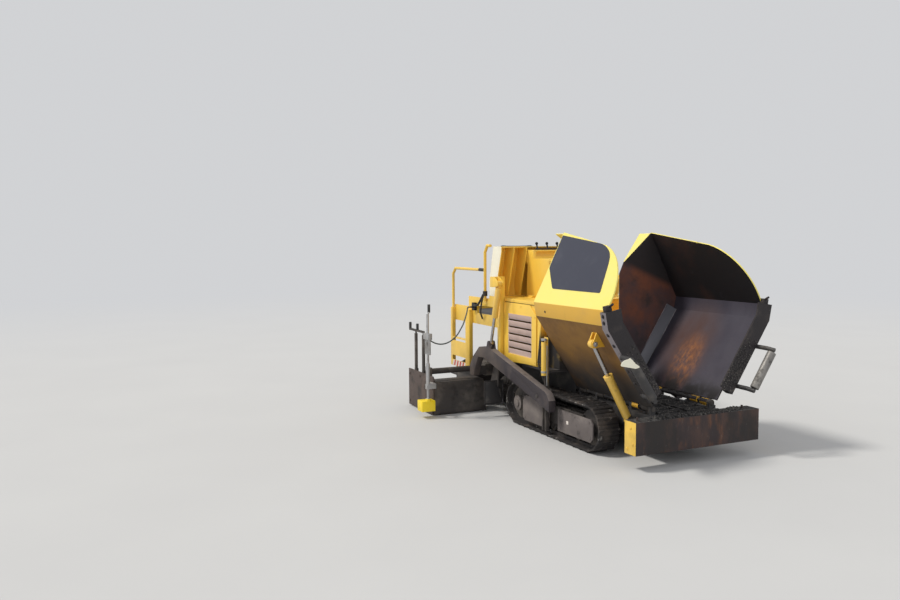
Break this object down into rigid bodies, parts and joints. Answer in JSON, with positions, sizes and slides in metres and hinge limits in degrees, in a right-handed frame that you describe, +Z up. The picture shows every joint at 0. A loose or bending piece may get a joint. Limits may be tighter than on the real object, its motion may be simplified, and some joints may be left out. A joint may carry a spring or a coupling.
{
  "type": "asphalt paver",
  "caption": "Small tracked asphalt paver with raised hopper wings, push rollers, conveyor tunnel, augers, operator platform and a towed screed with sliding extensions.",
  "frame": {"origin": "on the ground, under the middle of the machine's box", "axes": "+X forward to the hopper and its push rollers, +Y to the machine's left, +Z up"},
  "size_m": [3.479, 2.7, 1.8271],
  "materials": {
    "paint_yellow": "gloss paint, dusty",
    "dark_frame": "dull dark paint",
    "dusty_steel": "worn steel with asphalt dust",
    "chrome_rod": "ground and plated",
    "track_steel": "worn steel",
    "bumper_steel": "rusty steel",
    "seat_vinyl": "soft black cover",
    "cable_sheath": "grey sheath",
    "sensor_yellow": "bright yellow case",
    "roller_steel": "worn roller"
  },
  "bodies": {
    "tractor": {"main_frame": "dark_frame", "front_bumper": "bumper_steel", "conveyor_chains": "dusty_steel", "track_right": "track_steel", "track_left": "track_steel", "track_frame_right": "dusty_steel", "track_frame_left": "dusty_steel", "engine_block": "dusty_steel", "engine_housing": "paint_yellow", "grille_right": "paint_yellow", "grille_left": "paint_yellow", "dash_fairing": "paint_yellow", "console": "paint_yellow", "platform": "paint_yellow", "ladder_right": "paint_yellow", "ladder_left": "paint_yellow", "seat_base": "dark_frame", "seat_cushion": "seat_vinyl", "seat_back": "seat_vinyl", "lift_posts": "paint_yellow", "tow_guides": "dusty_steel", "auger_frame": "dusty_steel", "sensor_cable": "cable_sheath"},
    "screed": {"tow_arm_right": "dusty_steel", "tow_arm_left": "dusty_steel", "screed_main": "dusty_steel"},
    "wing_right": {"hopper_wing_right": "paint_yellow"},
    "roller_right": {"push_roller_right": "roller_steel"},
    "wing_barrel_right": {"wing_barrel_right": "paint_yellow"},
    "wing_rod_right": {"wing_rod_right": "chrome_rod"},
    "lid_right": {"hood_lid_right": "paint_yellow"},
    "auger_right": {"auger_right": "dusty_steel"},
    "extension_right": {"screed_extension_right": "dusty_steel", "grade_sensor": "sensor_yellow"},
    "lift_barrel_right": {"lift_barrel_right": "paint_yellow"},
    "lift_rod_right": {"lift_rod_right": "chrome_rod"},
    "wing_left": {"hopper_wing_left": "paint_yellow"},
    "roller_left": {"push_roller_left": "roller_steel"},
    "wing_barrel_left": {"wing_barrel_left": "paint_yellow"},
    "wing_rod_left": {"wing_rod_left": "chrome_rod"},
    "lid_left": {"hood_lid_left": "paint_yellow"},
    "auger_left": {"auger_left": "dusty_steel"},
    "extension_left": {"screed_extension_left": "dusty_steel"},
    "lift_barrel_left": {"lift_barrel_left": "paint_yellow"},
    "lift_rod_left": {"lift_rod_left": "chrome_rod"}
  },
  "joints": [
    {"name": "screed_lift", "type": "hinge", "parent": "tractor", "child": "screed", "pos_m": [0.395, 0, 0.38], "axis": [0, 1, 0], "range_deg": [0, 5.5]},
    {"name": "wing_lower_right", "type": "hinge", "parent": "tractor", "child": "wing_right", "pos_m": [0.96, -0.3, 0.42], "axis": [1, 0, 0], "range_deg": [-4, 40]},
    {"name": "wing_barrel_swing_right", "type": "hinge", "parent": "tractor", "child": "wing_barrel_right", "pos_m": [1.25, -0.38, 0.3], "axis": [1, 0, 0], "range_deg": [-4.2, 38.8]},
    {"name": "wing_rod_slide_right", "type": "slide", "parent": "wing_barrel_right", "child": "wing_rod_right", "axis": [0, -0.4804, 0.877], "range_m": [-0.102, 0.012]},
    {"name": "push_roller_spin_right", "type": "hinge", "parent": "wing_right", "child": "roller_right", "pos_m": [1.704, -0.597, 0.7033], "axis": [0, -0.5505, 0.8348], "continuous": true},
    {"name": "hood_lid_hinge_right", "type": "hinge", "parent": "tractor", "child": "lid_right", "pos_m": [-0.18, -0.334, 1.209], "axis": [-1, 0, 0], "range_deg": [0, 75]},
    {"name": "auger_spin_right", "type": "hinge", "parent": "tractor", "child": "auger_right", "pos_m": [-0.69, -0.315, 0.26], "axis": [0, 1, 0], "continuous": true},
    {"name": "extension_slide_right", "type": "slide", "parent": "screed", "child": "extension_right", "axis": [0, 1, 0], "range_m": [0, 0.42]},
    {"name": "lift_barrel_swing_right", "type": "hinge", "parent": "tractor", "child": "lift_barrel_right", "pos_m": [-0.37, -0.7, 1.345], "axis": [0, -1, 0], "range_deg": [-0.2, 1.7]},
    {"name": "lift_rod_slide_right", "type": "slide", "parent": "lift_barrel_right", "child": "lift_rod_right", "axis": [-0.2726, 0, -0.9621], "range_m": [-0.112, 0.002]},
    {"name": "wing_lower_left", "type": "hinge", "parent": "tractor", "child": "wing_left", "pos_m": [0.96, 0.3, 0.42], "axis": [-1, 0, 0], "range_deg": [-4, 40]},
    {"name": "wing_barrel_swing_left", "type": "hinge", "parent": "tractor", "child": "wing_barrel_left", "pos_m": [1.25, 0.38, 0.3], "axis": [-1, 0, 0], "range_deg": [-4.2, 38.8]},
    {"name": "wing_rod_slide_left", "type": "slide", "parent": "wing_barrel_left", "child": "wing_rod_left", "axis": [0, 0.4804, 0.877], "range_m": [-0.102, 0.012]},
    {"name": "push_roller_spin_left", "type": "hinge", "parent": "wing_left", "child": "roller_left", "pos_m": [1.704, 0.597, 0.7033], "axis": [0, 0.5505, 0.8348], "continuous": true},
    {"name": "hood_lid_hinge_left", "type": "hinge", "parent": "tractor", "child": "lid_left", "pos_m": [-0.18, 0.334, 1.209], "axis": [1, 0, 0], "range_deg": [0, 75]},
    {"name": "auger_spin_left", "type": "hinge", "parent": "tractor", "child": "auger_left", "pos_m": [-0.69, 0.315, 0.26], "axis": [0, 1, 0], "continuous": true},
    {"name": "extension_slide_left", "type": "slide", "parent": "screed", "child": "extension_left", "axis": [0, -1, 0], "range_m": [0, 0.57]},
    {"name": "lift_barrel_swing_left", "type": "hinge", "parent": "tractor", "child": "lift_barrel_left", "pos_m": [-0.37, 0.7, 1.345], "axis": [0, -1, 0], "range_deg": [-0.2, 1.7]},
    {"name": "lift_rod_slide_left", "type": "slide", "parent": "lift_barrel_left", "child": "lift_rod_left", "axis": [-0.2726, 0, -0.9621], "range_m": [-0.112, 0.002]}
  ],
  "couplings": [
    {"joint": "wing_barrel_swing_right", "follows": "wing_lower_right", "ratio": 0.9584},
    {"joint": "wing_rod_slide_right", "follows": "wing_lower_right", "m_per_rad": -0.1386},
    {"joint": "lift_barrel_swing_right", "follows": "screed_lift", "ratio": 0.2494},
    {"joint": "lift_rod_slide_right", "follows": "screed_lift", "m_per_rad": -0.9925},
    {"joint": "wing_barrel_swing_left", "follows": "wing_lower_left", "ratio": 0.9584},
    {"joint": "wing_rod_slide_left", "follows": "wing_lower_left", "m_per_rad": -0.1386},
    {"joint": "lift_barrel_swing_left", "follows": "screed_lift", "ratio": 0.2494},
    {"joint": "lift_rod_slide_left", "follows": "screed_lift", "m_per_rad": -0.9925}
  ]
}
